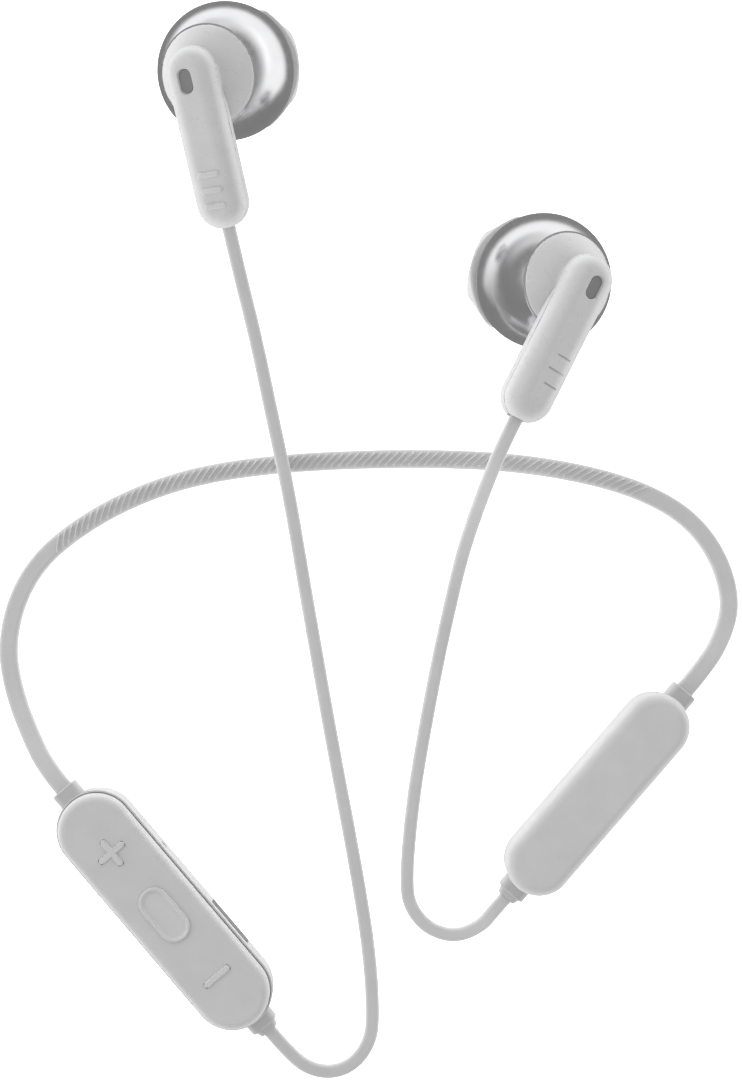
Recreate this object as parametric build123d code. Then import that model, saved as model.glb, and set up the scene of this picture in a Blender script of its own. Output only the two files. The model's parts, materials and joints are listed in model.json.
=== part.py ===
from build123d import *
from math import cos, radians, sin, tan
import os

# Neckband earphones laid out on a table: a control box and a battery box joined by a
# flat neck cable, and an earbud on a thinner cable from each box.  Millimetres, X to the
# right, Y away from the wearer, Z up, table top at Z = 0.

# ---------------------------------------------------------------- layout on the table
layout_middle = (0.42, 2.32)  # middle of the rigid pieces' footprint, in layout coordinates

remote_middle = (-28.2, -50.55)
remote_turn = -49.6  # degrees, X of the box runs from its neck end to its bud end
battery_middle = (30.9, -34.7)
battery_turn = 49.2  # degrees, X of the box runs from its bud end to its neck end

left_bud_middle = (-19.7, 63.65)
left_bud_turn = 11.7
left_bud_slope = 13.0  # degrees that the stem's end dips towards the table
left_bud_lean = 5.0
right_bud_middle = (23.45, 35.2)
right_bud_turn = -25.9
right_bud_slope = -5.7
right_bud_lean = 0.4

# ---------------------------------------------------------------- control box
remote_length = 39.6
remote_width = 11.0
remote_height = 7.3
remote_seam = 5.0  # height of the joint between the covers
remote_wall = 0.9
remote_front_edge = 1.1  # edge rounding of the front face
remote_back_edge = 1.2
seam_gap = 0.05
rim_width = 0.22  # the rear cover's thin rim round the foot of the front cover
rim_height = 0.25
rim_gap = 0.12  # groove between the rim and the front cover
lip_height = 0.7
lip_wall = 0.35

key_spacing = 11.0  # from the middle key to the plus and minus keys
key_middle = 0.3  # the middle key sits this far towards the bud end
key_gap = 0.06  # clearance round a key in its opening
mark_length = 4.2
mark_stroke = 0.75
mark_stand = 0.2  # how far the plus and minus stand above the cover
oval_length = 8.4
oval_width = 4.3
oval_rim = 0.5
oval_stand = 0.25
oval_dish = 0.22
key_flange = 0.4
flange_top = 6.45
plunger_radius = 0.9
nub_top = 5.7
nub_radius = 0.8
switch_size = (3.0, 2.6, 0.75)

board_length = 35.0
board_width = 8.0
board_top = 4.65
board_thickness = 0.8

port_place = 7.2  # along the box, from its middle
port_width = 7.5
port_height = 2.6
port_depth = 5.0
port_wall = 0.25
port_middle_z = 2.5
port_setback = 0.35  # from the box's side to the port's mouth
port_middle_y = remote_width / 2 - port_setback - port_depth / 2
tongue_width = 4.6
tongue_thickness = 0.6
tongue_back = 0.8
light_place = -6.8
light_radius = 0.5
light_z = 3.1
microphone_place = 12.0

# ---------------------------------------------------------------- battery box
battery_length = 33.6
battery_width = 9.2
battery_height = 7.0
battery_seam = 3.6
battery_wall = 0.8
battery_edge = 1.5
cell_size = (24.5, 6.5, 4.6)
cell_place = -1.6
pad_size = (23.5, 6.1, 0.4)
protection_board_size = (3.2, 4.6, 0.8)

# ---------------------------------------------------------------- collars and cables
neck_width = 2.6
neck_thickness = 1.4
bud_cable_width = 1.9
bud_cable_thickness = 1.3
collar_z = 3.3
collar_height = 3.2
neck_collar_width = 3.8
neck_collar_length = 1.8
bud_collar_width = 4.0
bud_collar_flange = 1.3
bud_collar_length = 2.2
collar_stub = 1.6  # length of a collar inside the box

# ---------------------------------------------------------------- earbud
bowl_radius = 9.3
bowl_wall = 0.6
bead_radius = 0.33  # rounding of the bowl's rim
cap_lean = 25.85  # degrees that the disc faces away from the nozzle
cap_height = 6.42  # from the bowl's centre to the joint with the disc
cap_wall = 1.0
stem_length = 24.34
stem_width = 6.9
stem_thickness = 5.6
stem_wall = 0.8
stem_rounding = 2.3
stem_fall = 2.0  # degrees between the stem and the disc
stem_offset = -0.86
stem_top_y = 4.2
stem_top_z = 9.3
slot_length = 3.25
slot_width = 1.7
slot_from_top = 4.28
slot_offset = -0.22
grommet_radius = 1.35
grommet_length = 2.4

front_depth = 5.3
front_radius = 9.0
front_wall = 0.7
spigot_radius = 8.6
spigot_top = 0.5
nozzle_tip = (9.1, -1.1, -3.4)
nozzle_dip = 25.0  # degrees below the bowl's rim plane
nozzle_swing = -9.0  # degrees towards the stem's top
nozzle_length = 4.2
nozzle_tip_size = (4.7, 2.6)  # half width and half height
nozzle_root_size = (7.5, 4.4)
nozzle_lip = 0.65
grille_thickness = 0.35
grille_hole = 0.22
grille_pitch = 0.72

driver_radius = 6.25
driver_front = -0.9
driver_back = 2.1


# ---------------------------------------------------------------- small helpers
def stadium(length, width, bottom, top):
    """A round-ended block lying along X between two heights."""
    return Pos(0, 0, bottom) * extrude(SlotOverall(length, width), top - bottom)


def tube(outer, inner, bottom, top):
    """A plain ring standing on Z between two heights."""
    ring = Circle(outer) - Circle(inner)
    return Pos(0, 0, bottom) * extrude(ring, top - bottom)


def disc(radius, bottom, top):
    """A plain disc between two heights."""
    return Pos(0, 0, bottom) * extrude(Circle(radius), top - bottom)


def largest(shape):
    """The biggest solid of a shape, without the slivers that a cut may leave."""
    return Part() + max(shape.solids(), key=lambda solid: solid.volume)


def block_above(height):
    """Everything above a height."""
    return Pos(0, 0, height) * Box(80, 80, 40, align=(Align.CENTER, Align.CENTER, Align.MIN))


def block_below(height):
    """Everything below a height."""
    return Pos(0, 0, height) * Box(80, 80, 40, align=(Align.CENTER, Align.CENTER, Align.MAX))


# ---------------------------------------------------------------- collars
def collar_section(width, height):
    return RectangleRounded(width, height, min(width, height) * 0.32)


def neck_collar(box_length):
    """Ring at a box's neck end.  It points along +X, with a stub inside the box."""
    end = box_length / 2
    ring = extrude(Plane.YZ * collar_section(neck_collar_width, collar_height), neck_collar_length + 0.4)
    ring = fillet(ring.faces().sort_by(Axis.X)[-1].edges(), 0.25)
    stub = extrude(Plane.YZ * collar_section(neck_collar_width - 0.8, collar_height - 0.8), collar_stub)
    return Pos(end - 0.4, 0, collar_z) * ring + Pos(end - 0.4 - collar_stub, 0, collar_z) * stub


def bud_collar(box_length):
    """Flange and short taper at a box's bud end.  It points along +X."""
    end = box_length / 2
    flange = extrude(Plane.YZ * collar_section(bud_collar_width, collar_height), bud_collar_flange + 0.4)
    flange = fillet(flange.faces().sort_by(Axis.X)[-1].edges(), 0.2)
    root = Plane.YZ * collar_section(bud_collar_width - 0.8, collar_height - 0.6)
    tip = Plane.YZ.offset(bud_collar_length - bud_collar_flange) * collar_section(
        bud_cable_width + 0.7, bud_cable_thickness + 0.7
    )
    taper = loft([root, tip])
    stub = extrude(Plane.YZ * collar_section(bud_collar_width - 0.9, collar_height - 0.8), collar_stub)
    outer = Pos(end - 0.4, 0, collar_z) * flange
    outer += Pos(end + bud_collar_flange, 0, collar_z) * taper
    return outer + Pos(end - 0.4 - collar_stub, 0, collar_z) * stub


def turned(part):
    """The same part at the other end of a box."""
    return Rot(0, 0, 180) * part


# ---------------------------------------------------------------- control box
def plus_outline(gap):
    length = mark_length + 2 * gap
    stroke = mark_stroke + 2 * gap
    return RectangleRounded(length, stroke, stroke * 0.3) + RectangleRounded(stroke, length, stroke * 0.3)


def minus_outline(gap):
    return RectangleRounded(mark_stroke + 2 * gap, mark_length + 2 * gap, mark_stroke * 0.3)


def oval_outline(gap):
    return SlotOverall(oval_length + 2 * gap, oval_width + 2 * gap)


key_places = {"volume_up": key_middle - key_spacing, "play": key_middle, "volume_down": key_middle + key_spacing}
key_outlines = {"volume_up": plus_outline, "play": oval_outline, "volume_down": minus_outline}


def key(name):
    """A key: a face that stands through the cover, a flange that keeps it in, a plunger."""
    stand = oval_stand if name == "play" else mark_stand
    face_top = remote_height + stand
    face_bottom = flange_top - key_flange
    face = Pos(0, 0, face_bottom) * extrude(key_outlines[name](0), face_top - face_bottom)
    if name == "play":
        dish = SlotOverall(oval_length - 2 * oval_rim, oval_width - 2 * oval_rim)
        face = fillet(face.edges().group_by(Axis.Z)[-1], 0.15)
        face -= Pos(0, 0, face_top - oval_dish) * extrude(dish, 1.0)
        flange = stadium(oval_length + 1, oval_width + 1, face_bottom, flange_top)
    else:
        flange = disc(mark_length / 2 + 0.6, face_bottom, flange_top)
    plunger = disc(plunger_radius, nub_top, face_bottom)
    return Pos(key_places[name], 0, 0) * (face + flange + plunger)


def key_nub(name):
    """The moving button of the switch under a key."""
    return Pos(key_places[name], 0, 0) * disc(nub_radius, nub_top - 0.6, nub_top)


def key_switches():
    """Three tactile switch bodies, each open at the top for its nub."""
    group = Part()
    well = disc(nub_radius + 0.08, board_top + 0.1, board_top + 2)
    for place in key_places.values():
        body = Box(*switch_size, align=(Align.CENTER, Align.CENTER, Align.MIN))
        group += Pos(place, 0, 0) * (Pos(0, 0, board_top) * body - well)
    return group


def remote_front_cover():
    inset = 2 * (rim_width + rim_gap)
    shell = stadium(remote_length - inset, remote_width - inset, remote_seam, remote_height)
    shell = fillet(shell.edges().group_by(Axis.Z)[-1], remote_front_edge)
    room = (remote_length - 2 * remote_wall, remote_width - 2 * remote_wall)
    shell -= stadium(*room, remote_seam, remote_height - 0.8)
    lip = stadium(room[0] - 0.1, room[1] - 0.1, remote_seam - lip_height, remote_seam + 0.4)
    lip -= stadium(room[0] - 0.1 - 2 * lip_wall, room[1] - 0.1 - 2 * lip_wall, 0, remote_height)
    ends = Box(remote_length + 2, neck_collar_width + 1, 2.2 * lip_height)
    port_notch = Pos(port_place, remote_width / 2, remote_seam) * Box(port_width + 1, 4, 2.2 * lip_height)
    lip -= Pos(0, 0, remote_seam - 1.1 * lip_height) * ends + Pos(0, 0, -1.1 * lip_height) * port_notch
    shell += lip & block_below(remote_seam + 0.3)
    for name, place in key_places.items():
        shell -= Pos(place, 0, remote_seam) * extrude(key_outlines[name](key_gap), remote_height)
    return largest(shell)


def remote_rear_cover():
    top = remote_seam - seam_gap
    shell = stadium(remote_length, remote_width, 0, top)
    shell = fillet(shell.edges().group_by(Axis.Z)[0], remote_back_edge)
    shell -= stadium(remote_length - 2 * remote_wall, remote_width - 2 * remote_wall, remote_wall, remote_height)
    rim = stadium(remote_length, remote_width, top, remote_seam + rim_height)
    rim -= stadium(remote_length - 2 * rim_width, remote_width - 2 * rim_width, top, remote_height)
    shell += rim
    mouth = Box(port_width + 0.1, 4, port_height + 0.1)
    shell -= Pos(port_place, remote_width / 2, port_middle_z) * mouth
    light_hole = Rot(-90, 0, 0) * Cylinder(light_radius + 0.05, 4)
    shell -= Pos(light_place, remote_width / 2, light_z) * light_hole
    microphone_hole = Rot(90, 0, 0) * Cylinder(0.4, 4)
    shell -= Pos(microphone_place, -remote_width / 2, light_z) * microphone_hole
    shell -= turned(neck_collar(remote_length)) + bud_collar(remote_length)
    return largest(shell)


def remote_circuit_board():
    return stadium(board_length, board_width, board_top - board_thickness, board_top)


def usb_receptacle():
    """Folded steel shell of the charging port, open towards +Y."""
    shell = Box(port_width, port_depth, port_height) - Pos(0, port_wall, 0) * Box(
        port_width - 2 * port_wall, port_depth, port_height - 2 * port_wall
    )
    return Pos(port_place, port_middle_y, port_middle_z) * shell


def usb_tongue():
    """Contact tongue inside the charging port."""
    back_y = port_middle_y - port_depth / 2 + port_wall + tongue_back / 2
    tongue = Box(tongue_width, port_depth - 2 * tongue_back, tongue_thickness)
    tongue = Pos(port_place, port_middle_y - port_setback / 2, port_middle_z + 0.25) * tongue
    back = Box(port_width - 2 * port_wall, tongue_back, port_height - 2 * port_wall)
    return tongue + Pos(port_place, back_y, port_middle_z) * back


def bluetooth_chip():
    return Pos(-5.5, -0.6, board_top - board_thickness - 0.45) * Box(5.0, 5.0, 0.9)


def microphone():
    return Pos(microphone_place, -2.8, board_top - board_thickness - 0.5) * Box(2.8, 1.9, 1.0)


def status_light():
    """Small light with a clear window that reaches through the rear cover."""
    window = Rot(-90, 0, 0) * Cylinder(light_radius, 1.6)
    body = Box(1.6, 1.0, 1.3)
    window = Pos(light_place, remote_width / 2 - 0.8, light_z) * window
    return window + Pos(light_place, remote_width / 2 - 2.0, light_z + 0.1) * body


# ---------------------------------------------------------------- battery box
def battery_front_cover():
    shell = stadium(battery_length, battery_width, battery_seam, battery_height)
    shell = fillet(shell.edges().group_by(Axis.Z)[-1], battery_edge)
    room = (battery_length - 2 * battery_wall, battery_width - 2 * battery_wall)
    shell -= stadium(*room, battery_seam, battery_height - battery_wall)
    shell -= neck_collar(battery_length) + turned(bud_collar(battery_length))
    return largest(shell)


def battery_rear_cover():
    shell = stadium(battery_length, battery_width, 0, battery_seam - seam_gap)
    shell = fillet(shell.edges().group_by(Axis.Z)[0], battery_edge)
    room = (battery_length - 2 * battery_wall, battery_width - 2 * battery_wall)
    shell -= stadium(*room, battery_wall, battery_height)
    shell -= neck_collar(battery_length) + turned(bud_collar(battery_length))
    return largest(shell)


def battery_cell():
    cell = Box(*cell_size)
    cell = fillet(cell.edges().filter_by(Axis.X), 1.0)
    return Pos(cell_place, 0, battery_wall + 0.1 + cell_size[2] / 2) * cell


def battery_foam_pad():
    top_of_cell = battery_wall + 0.1 + cell_size[2]
    return Pos(cell_place, 0, top_of_cell + pad_size[2] / 2) * Box(*pad_size)


def battery_protection_board():
    x = cell_place + cell_size[0] / 2 + 0.3 + protection_board_size[0] / 2
    return Pos(x, 0, 1.6) * Box(*protection_board_size)


# ---------------------------------------------------------------- earbud shells
# An earbud is drawn about the centre of its metal bowl: Z out of the ear along the
# driver's axis, X towards the nozzle, Y towards the top of the stem.
cap_frame = Rot(0, -cap_lean, 0)


def cap_side(height):
    """Everything beyond the joint plane of the disc."""
    return cap_frame * block_above(height)


def stem_frame():
    """Frame on the stem's middle line: Y along the stem, Z out of its face, at its top end."""
    return cap_frame * Pos(stem_offset, stem_top_y, stem_top_z) * Rot(stem_fall, 0, 0)


def stem_bar(inset):
    """The stem as a rounded bar, drawn smaller all round by an inset."""
    length = stem_length - 2 * inset
    width = stem_width - 2 * inset
    thickness = stem_thickness - 2 * inset
    bar = extrude(Rot(0, 0, 90) * SlotOverall(length, width), thickness / 2, both=True)
    bar = fillet(bar.edges().group_by(Axis.Z)[0] + bar.edges().group_by(Axis.Z)[-1], stem_rounding - inset)
    return stem_frame() * Pos(0, -stem_length / 2, 0) * bar


def stem_slot(margin, bottom, top):
    slot = Rot(0, 0, 90) * SlotOverall(slot_length + 2 * margin, slot_width + 2 * margin)
    face = stem_thickness / 2
    return stem_frame() * Pos(slot_offset, -slot_from_top, face + bottom) * extrude(slot, top - bottom)


def cable_hole(radius):
    along = Rot(90, 0, 0) * Cylinder(radius, grommet_length)
    return stem_frame() * Pos(0, -stem_length + grommet_length / 2 - 0.1, 0) * along


def metal_bowl():
    bowl = Sphere(bowl_radius) - Sphere(bowl_radius - bowl_wall)
    bowl -= block_below(0)
    bowl -= cap_side(cap_height - seam_gap)
    bead = Pos(0, 0, -0.15) * Torus(bowl_radius - bead_radius, bead_radius)
    return largest(bowl + bead)


def outer_shell():
    """The white disc with the outer half of the stem moulded on."""
    cap = (Sphere(bowl_radius) - Sphere(bowl_radius - cap_wall)) & cap_side(cap_height)
    front_half = stem_bar(0) & (stem_frame() * block_above(0))
    front_half -= stem_bar(stem_wall) + Sphere(bowl_radius - cap_wall)
    shell = (cap - stem_bar(stem_wall)) + front_half
    shell -= Sphere(bowl_radius + 0.04) - cap_side(cap_height)
    shell -= stem_slot(0, -2, 1) + cable_hole(grommet_radius)
    return largest(shell)


def stem_back():
    back_half = stem_bar(0) & (stem_frame() * block_below(-0.03))
    back_half -= stem_bar(stem_wall) + Sphere(bowl_radius + 0.04)
    back_half -= cable_hole(grommet_radius)
    return largest(back_half)


def vent_mesh():
    return stem_slot(-0.04, -0.55, -0.2)


def cable_grommet():
    return cable_hole(grommet_radius - 0.03)


def dome_profile(inset):
    """Half section of the front shell's dome, drawn smaller by an inset."""
    rim = front_radius - inset
    depth = front_depth - inset
    line = Line((0, 0), (rim, 0)) + Line((rim, 0), (rim, -0.7))
    line += Spline((rim, -0.7), (rim * 0.83, -depth * 0.62), (rim * 0.45, -depth * 0.93), (0, -depth),
                   tangents=[(0, -1), (-1, 0)])
    line += Line((0, -depth), (0, 0))
    return make_face(Plane.XZ * line)


def nozzle_plane(back):
    """Plane across the nozzle, some way back from its tip."""
    dip = radians(nozzle_dip)
    swing = radians(nozzle_swing)
    direction = Vector(cos(dip) * cos(swing), cos(dip) * sin(swing), -sin(dip))
    across = Vector(-sin(swing), cos(swing), 0)
    return Plane(origin=Vector(*nozzle_tip) - direction * back, x_dir=across, z_dir=direction)


def nozzle_body(inset):
    tip = nozzle_plane(0) * Ellipse(nozzle_tip_size[0] - inset, nozzle_tip_size[1] - inset)
    root = nozzle_plane(nozzle_length) * Ellipse(nozzle_root_size[0] - inset, nozzle_root_size[1] - inset)
    return loft([root, tip])


def front_shell():
    """Ear side of the housing: a shallow dome that runs out into the oval nozzle."""
    outer = revolve(dome_profile(0), Axis.Z) + nozzle_body(0)
    outer &= block_below(-0.62)
    inner = revolve(dome_profile(front_wall), Axis.Z) + nozzle_body(front_wall)
    inner &= block_below(-0.5)
    shell = outer - inner
    shell -= nozzle_plane(0.4) * extrude(Ellipse(*[half - nozzle_lip for half in nozzle_tip_size]), 2)
    spigot = tube(spigot_radius, driver_radius + 0.05, -1.3, -0.1)
    spigot += tube(spigot_radius, spigot_radius - 0.6, -0.2, spigot_top)
    return largest(shell + spigot)


def grille():
    """Oval mesh in the nozzle's mouth."""
    half_width = nozzle_tip_size[0] - nozzle_lip - 0.04
    half_height = nozzle_tip_size[1] - nozzle_lip - 0.04
    plate = extrude(Ellipse(half_width, half_height), grille_thickness)
    holes = []
    for row in range(-3, 4):
        for column in range(-5, 6):
            x = (column + 0.5 * (row % 2)) * grille_pitch
            y = row * grille_pitch * 0.866
            if (x / (half_width - 0.4)) ** 2 + (y / (half_height - 0.4)) ** 2 < 1:
                holes.append(Pos(x, y, 0) * extrude(Circle(grille_hole), grille_thickness))
    plate -= holes
    return nozzle_plane(grille_thickness + 0.15) * plate


# ---------------------------------------------------------------- driver
def driver_frame():
    body = disc(driver_radius, driver_front, driver_back)
    body -= disc(driver_radius - 0.5, driver_front - 1, driver_back - 0.8)
    body -= disc(4.55, driver_front, driver_back + 1)
    return body


def yoke():
    return disc(4.5, 0.7, 3.3) - disc(4.1, 0.6, 2.8)


def magnet():
    return disc(3.45, 1.35, 2.8)


def top_plate():
    return disc(3.5, 0.8, 1.35)


def voice_coil():
    return tube(3.92, 3.62, -0.05, 1.7)


def diaphragm():
    """Thin dome with a flat edge that carries the voice coil."""
    dome = Sphere(8.2) - Sphere(8.1)
    dome = Pos(0, 0, 6.9) * dome & disc(3.6, -2, 0.2)
    return largest(dome + tube(4.2, 3.4, -0.17, -0.05))


def surround():
    """Soft roll between the diaphragm's edge and the driver frame."""
    roll = Torus(4.95, 0.7) - Torus(4.95, 0.6)
    roll = Pos(0, 0, -0.1) * roll & block_below(-0.1)
    return largest(roll)


bud_pieces = {
    "outer_shell": outer_shell,
    "stem_back": stem_back,
    "metal_bowl": metal_bowl,
    "front_shell": front_shell,
    "nozzle_grille": grille,
    "vent_mesh": vent_mesh,
    "cable_grommet": cable_grommet,
    "driver_frame": driver_frame,
    "yoke": yoke,
    "magnet": magnet,
    "top_plate": top_plate,
    "voice_coil": voice_coil,
    "diaphragm": diaphragm,
    "surround": surround,
}


# ---------------------------------------------------------------- cables
def cord_radii(points):
    """Arc radius at each corner: as large as the two runs beside it allow."""
    radii = []
    for before, corner, after in zip(points, points[1:], points[2:]):
        run_in = Vector(*corner) - Vector(*before)
        run_out = Vector(*after) - Vector(*corner)
        half_turn = radians(run_in.get_angle(run_out)) / 2
        radii.append(0.45 * min(run_in.length, run_out.length) / tan(half_turn))
    return radii


def flat_cord(name, points, width, thickness):
    """A flat cable along straight runs joined by tangent arcs, always flat side up."""
    points = moved(points)
    radii = cord_radii(points)
    path = FilletPolyline(*points, radius=radii)
    tangent = (Vector(*points[1]) - Vector(*points[0])).normalized()
    side = Vector(0, 0, 1).cross(tangent).normalized()
    section_plane = Plane(origin=points[0], x_dir=side, z_dir=tangent)
    section = section_plane * RectangleRounded(width, thickness, thickness * 0.4)
    cord = sweep(section, path)
    area = section.area
    print(name, "length", round(path.length, 1), "volume ratio", round(cord.volume / (area * path.length), 3),
          "radii", [round(radius, 1) for radius in radii])
    return cord


# Each route's points, in layout coordinates, chosen by hand.
neck_route = [
    (-42.20, -34.10, 3.3), (-44.66, -31.21, 3.2), (-47.0, -26.9, 2.0), (-49.3, -21.4, 0.95),
    (-50.5, -15.0, 0.78), (-49.1, -8.2, 0.78), (-45.9, -2.8, 0.78), (-41.0, 1.4, 0.78),
    (-34.0, 5.5, 0.78), (-25.5, 8.6, 0.78), (-15.5, 10.3, 0.78), (-4.0, 11.1, 0.78),
    (8.5, 11.3, 0.78), (20.0, 10.75, 0.78), (30.5, 9.0, 0.78), (38.6, 6.4, 0.78),
    (44.5, 2.7, 0.78), (48.3, -2.6, 0.78), (49.9, -8.8, 0.85), (48.3, -13.8, 1.9),
    (45.60, -17.67, 3.2), (43.05, -20.62, 3.3),
]

left_route = [
    (-19.09, 41.91, 9.53), (-17.86, 36.34, 8.02), (-15.8, 27.8, 5.4), (-13.3, 15.6, 5.0),
    (-11.3, 6.4, 4.7), (-9.1, -7.0, 1.0), (-5.5, -27.5, 0.7), (-2.3, -44.2, 0.7),
    (-0.2, -57.0, 0.7), (0.35, -66.6, 0.7), (-0.35, -69.9, 0.7), (-2.4, -72.6, 0.7),
    (-5.4, -73.75, 0.9), (-8.7, -72.9, 1.9), (-11.45, -70.30, 3.1), (-13.94, -67.30, 3.3),
]

right_route = [
    (19.03, 15.77, 14.79), (17.10, 11.94, 15.08), (14.75, 5.6, 10.6), (12.5, -1.6, 5.7),
    (10.95, -8.8, 2.0), (9.35, -16.2, 0.7), (7.4, -26.4, 0.7), (5.7, -36.6, 0.7),
    (4.75, -48.0, 0.7), (5.75, -51.5, 0.7), (8.35, -54.1, 0.7), (11.9, -54.9, 0.9),
    (15.3, -53.2, 1.9), (16.85, -50.95, 3.1), (18.49, -49.08, 3.3),
]


# ---------------------------------------------------------------- assembly
def bud_place(middle, turn, slope, lean, shells):
    """Where an earbud lies: turned, sloped and leaned, with its lowest point on the table."""
    attitude = Rot(0, 0, turn) * Rot(slope, 0, 0) * Rot(0, lean, 0)
    lowest = min((attitude * shell).bounding_box().min.Z for shell in shells)
    return Pos(middle[0] - layout_middle[0], middle[1] - layout_middle[1], -lowest) * attitude


def moved(points):
    """A route's points in the part's own frame."""
    return [(x - layout_middle[0], y - layout_middle[1], z) for x, y, z in points]


def box_place(middle, turn):
    return Pos(middle[0] - layout_middle[0], middle[1] - layout_middle[1], 0) * Rot(0, 0, turn)


def build():
    nodes = {}
    remote = box_place(remote_middle, remote_turn)
    nodes["remote_front_cover"] = remote * remote_front_cover()
    nodes["remote_rear_cover"] = remote * remote_rear_cover()
    for name in key_places:
        nodes[name + "_key"] = remote * key(name)
        nodes[name + "_nub"] = remote * key_nub(name)
    nodes["key_switches"] = remote * key_switches()
    nodes["remote_circuit_board"] = remote * remote_circuit_board()
    nodes["usb_receptacle"] = remote * usb_receptacle()
    nodes["usb_tongue"] = remote * usb_tongue()
    nodes["bluetooth_chip"] = remote * bluetooth_chip()
    nodes["microphone"] = remote * microphone()
    nodes["status_light"] = remote * status_light()
    nodes["remote_neck_collar"] = remote * turned(neck_collar(remote_length))
    nodes["remote_bud_collar"] = remote * bud_collar(remote_length)

    battery = box_place(battery_middle, battery_turn)
    nodes["battery_front_cover"] = battery * battery_front_cover()
    nodes["battery_rear_cover"] = battery * battery_rear_cover()
    nodes["battery_cell"] = battery * battery_cell()
    nodes["battery_foam_pad"] = battery * battery_foam_pad()
    nodes["battery_protection_board"] = battery * battery_protection_board()
    nodes["battery_neck_collar"] = battery * neck_collar(battery_length)
    nodes["battery_bud_collar"] = battery * turned(bud_collar(battery_length))

    pieces = {name: make() for name, make in bud_pieces.items()}
    flipped = {name: mirror(piece, about=Plane.YZ) for name, piece in pieces.items()}
    left = bud_place(left_bud_middle, left_bud_turn, left_bud_slope, left_bud_lean,
                     [pieces["front_shell"], pieces["stem_back"], pieces["metal_bowl"]])
    right = bud_place(right_bud_middle, right_bud_turn, right_bud_slope, right_bud_lean,
                      [flipped["front_shell"], flipped["stem_back"], flipped["metal_bowl"]])
    for name in pieces:
        nodes["left_" + name] = left * pieces[name]
        nodes["right_" + name] = right * flipped[name]

    nodes["neck_cable"] = flat_cord("neck_cable", neck_route, neck_width, neck_thickness)
    for side, route in (("left", left_route), ("right", right_route)):
        name = side + "_bud_cable"
        nodes[name] = flat_cord(name, route, bud_cable_width, bud_cable_thickness)
    return nodes


nodes = build()
os.makedirs("parts", exist_ok=True)
for name, solid in nodes.items():
    export_step(solid, f"parts/{name}.step")
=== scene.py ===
import json
from math import cos, pi, radians, sin

import bpy
import numpy as np
from mathutils import Matrix, Vector


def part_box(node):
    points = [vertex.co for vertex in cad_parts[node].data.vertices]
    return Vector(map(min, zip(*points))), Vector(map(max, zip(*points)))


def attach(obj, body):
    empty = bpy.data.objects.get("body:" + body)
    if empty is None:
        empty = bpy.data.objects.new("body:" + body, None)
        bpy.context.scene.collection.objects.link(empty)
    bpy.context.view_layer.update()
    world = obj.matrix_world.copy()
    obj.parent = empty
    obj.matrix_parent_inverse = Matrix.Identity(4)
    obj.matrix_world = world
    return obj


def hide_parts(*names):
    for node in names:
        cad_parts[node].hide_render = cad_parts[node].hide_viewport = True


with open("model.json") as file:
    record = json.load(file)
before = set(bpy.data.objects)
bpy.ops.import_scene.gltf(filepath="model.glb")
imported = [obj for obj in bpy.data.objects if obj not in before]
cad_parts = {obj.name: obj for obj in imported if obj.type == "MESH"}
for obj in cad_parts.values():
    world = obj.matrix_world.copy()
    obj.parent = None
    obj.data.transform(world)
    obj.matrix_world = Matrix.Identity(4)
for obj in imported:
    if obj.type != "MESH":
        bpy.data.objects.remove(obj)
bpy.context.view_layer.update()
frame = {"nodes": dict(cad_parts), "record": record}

scene = bpy.context.scene
MM = 0.001

# ---------------------------------------------------------------- sizes shared with the CAD model
layout_middle = (0.00042, 0.00232)  # origin of the frame, in layout coordinates, metres

# Earbud sizes, in millimetres about the centre of the metal bowl: Z out of the ear,
# X towards the nozzle, Y towards the top of the stem.
bowl_radius = 9.3
cap_lean = 25.85
cap_height = 6.42
cap_wall = 1.0
stem_length = 24.34
stem_width = 6.9
stem_thickness = 5.6
stem_wall = 0.8
stem_rounding = 2.3
stem_fall = 2.0
stem_offset = -0.86
stem_top_y = 4.2
stem_top_z = 9.3
slot_length = 3.25
slot_width = 1.7
slot_from_top = 4.28
slot_offset = -0.22
grommet_radius = 1.35
magnet_middle = 2.075  # height of the magnet's middle over the bowl's centre
bud_attitudes = {  # turn, slope and lean in degrees, and 1 or -1 for the mirrored earbud
    "left": (11.7, 13.0, 5.0, 1),
    "right": (-25.9, -5.7, 0.4, -1),
}

front_radius = 9.0
front_depth = 5.3
front_rim = -0.62
front_wall = 0.7
dome_centre = -0.7  # height of the dome's own centre
nozzle_tip = (9.1, -1.1, -3.4)
nozzle_dip = 25.0
nozzle_swing = -9.0
nozzle_length = 4.2
nozzle_tip_size = (4.7, 2.6)
nozzle_root_size = (7.5, 4.4)
nozzle_lip = 0.65
mouth_depth = 2.0

# Soft edges, also in millimetres: how far one surface flows into the next.
disc_edge = 0.3
stem_split = 0.03  # the stem's two halves meet this far below its middle
stem_foot = 0.5
bowl_gap = 0.04
nozzle_rounding = 0.45
nozzle_root_blend = 0.5
nozzle_foot = 1.6
nozzle_foot_inside = 1.2
bore_inset = 0.5  # the nozzle's bore is this much narrower than its wall alone would leave it
net_pitch = 0.2  # size of the mesh's quads on the moulded shells

neck_width, neck_thickness = 0.0026, 0.0014
bud_cable_width, bud_cable_thickness = 0.0019, 0.0013

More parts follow.
